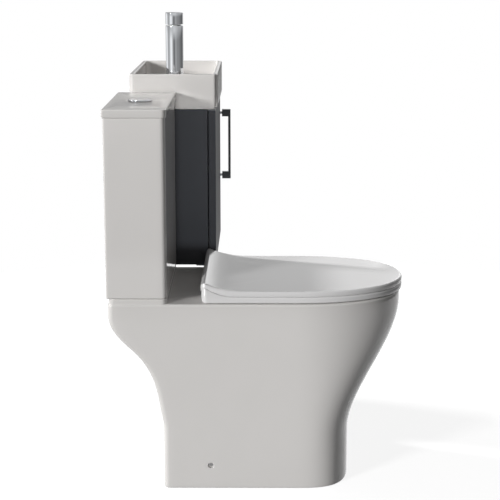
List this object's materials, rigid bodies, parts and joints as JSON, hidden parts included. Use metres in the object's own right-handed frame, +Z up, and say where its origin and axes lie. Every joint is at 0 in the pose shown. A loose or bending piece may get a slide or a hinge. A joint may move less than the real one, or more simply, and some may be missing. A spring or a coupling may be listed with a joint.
{
  "type": "combined vanity and toilet unit",
  "caption": "Close-coupled toilet beside a slim wall-hung cloakroom vanity with an inset trough basin, a tall pillar tap and one side-hung door, both held by one wall rail.",
  "frame": {"origin": "on the floor, under the middle of the whole unit's box seen from above", "axes": "+X out from the wall, +Y from the toilet to the vanity along the wall, +Z up"},
  "size_m": [0.635, 0.765, 0.99],
  "materials": {
    "glazed_china": "white gloss glaze",
    "grey_lacquer": "dark grey lacquered board, satin",
    "polished_chrome": "polished",
    "chromed_plastic": "chrome plated, polished",
    "zinc_steel": "zinc plated",
    "brass": "machined",
    "black_rubber": "matt",
    "seat_plastic": "white gloss",
    "white_plastic": "moulded, satin",
    "blue_plastic": "moulded, satin",
    "soft_plastic": "soft white, satin"
  },
  "bodies": {
    "unit": {"pan": "glazed_china", "cistern_tank": "glazed_china", "cistern_lid": "glazed_china", "coupling_bolts": "brass", "coupling_washers": "black_rubber", "coupling_nuts": "brass", "coupling_seal": "black_rubber", "flush_valve_body": "white_plastic", "flush_valve_nut": "white_plastic", "fill_valve": "white_plastic", "fill_valve_nut": "white_plastic", "button_plate": "chromed_plastic", "button_plate_nut": "white_plastic", "seat_hinge_posts": "polished_chrome", "seat_fixing_nuts": "white_plastic", "wall_rail": "zinc_steel", "rail_nuts": "zinc_steel", "cabinet_hangers": "zinc_steel", "cabinet_near_side": "grey_lacquer", "cabinet_far_side": "grey_lacquer", "cabinet_bottom": "grey_lacquer", "cabinet_top_rails": "grey_lacquer", "cabinet_back": "grey_lacquer", "cabinet_shelf": "grey_lacquer", "shelf_pins": "zinc_steel", "door_pivot_plates": "zinc_steel", "door_pivot_pins": "zinc_steel", "door_buffers": "soft_plastic", "basin": "glazed_china", "tap_body": "polished_chrome", "tap_spout": "polished_chrome", "tap_aerator": "polished_chrome", "tap_cartridge": "white_plastic", "tap_gasket": "black_rubber", "tap_nut": "brass", "waste_body": "polished_chrome", "waste_nut": "brass", "trap_body": "polished_chrome", "trap_cup": "polished_chrome"},
    "seat_ring": {"seat_ring": "seat_plastic", "ring_buffers": "soft_plastic", "seat_hinge_pins": "polished_chrome"},
    "seat_lid": {"seat_lid": "seat_plastic", "lid_buffers": "soft_plastic"},
    "door": {"door": "grey_lacquer", "handle": "polished_chrome", "handle_collars": "polished_chrome", "handle_screws": "zinc_steel"},
    "full_flush_button": {"flush_button_full": "chromed_plastic", "flush_rod_full": "blue_plastic"},
    "half_flush_button": {"flush_button_half": "chromed_plastic", "flush_rod_half": "blue_plastic"},
    "flush_piston": {"flush_piston": "blue_plastic", "flush_seal": "black_rubber"},
    "float": {"fill_float": "blue_plastic"},
    "tap_handle": {"tap_cap": "polished_chrome", "tap_lever": "polished_chrome"},
    "waste_plug": {"waste_plug": "polished_chrome"}
  },
  "joints": [
    {"name": "ring_hinge", "type": "hinge", "parent": "unit", "child": "seat_ring", "pos_m": [-0.1015, -0.2025, 0.428], "axis": [0, -1, 0], "range_deg": [0, 95]},
    {"name": "lid_hinge", "type": "hinge", "parent": "seat_ring", "child": "seat_lid", "pos_m": [-0.1015, -0.2025, 0.428], "axis": [0, 1, 0], "range_deg": [-95, 0]},
    {"name": "door_hinge", "type": "hinge", "parent": "unit", "child": "door", "pos_m": [-0.1005, -0.011, 0.5908], "axis": [0, 0, -1], "range_deg": [0, 90]},
    {"name": "full_flush_press", "type": "slide", "parent": "unit", "child": "full_flush_button", "axis": [0, 0, -1], "range_m": [0, 0.006], "stiffness_N_per_m": 500, "springref_m": -0.006},
    {"name": "half_flush_press", "type": "slide", "parent": "unit", "child": "half_flush_button", "axis": [0, 0, -1], "range_m": [0, 0.006], "stiffness_N_per_m": 500, "springref_m": -0.006},
    {"name": "piston_lift", "type": "slide", "parent": "unit", "child": "flush_piston", "axis": [0, 0, 1], "range_m": [0, 0.012]},
    {"name": "float_rise", "type": "slide", "parent": "unit", "child": "float", "axis": [0, 0, 1], "range_m": [0, 0.08]},
    {"name": "tap_turn", "type": "hinge", "parent": "unit", "child": "tap_handle", "pos_m": [-0.189, 0.0225, 0.9765], "axis": [0, 0, 1], "range_deg": [-100, 0]},
    {"name": "plug_lift", "type": "slide", "parent": "unit", "child": "waste_plug", "axis": [0, 0, 1], "range_m": [0, 0.01]}
  ],
  "couplings": [
    {"joint": "piston_lift", "follows": "full_flush_press", "ratio": 2}
  ]
}
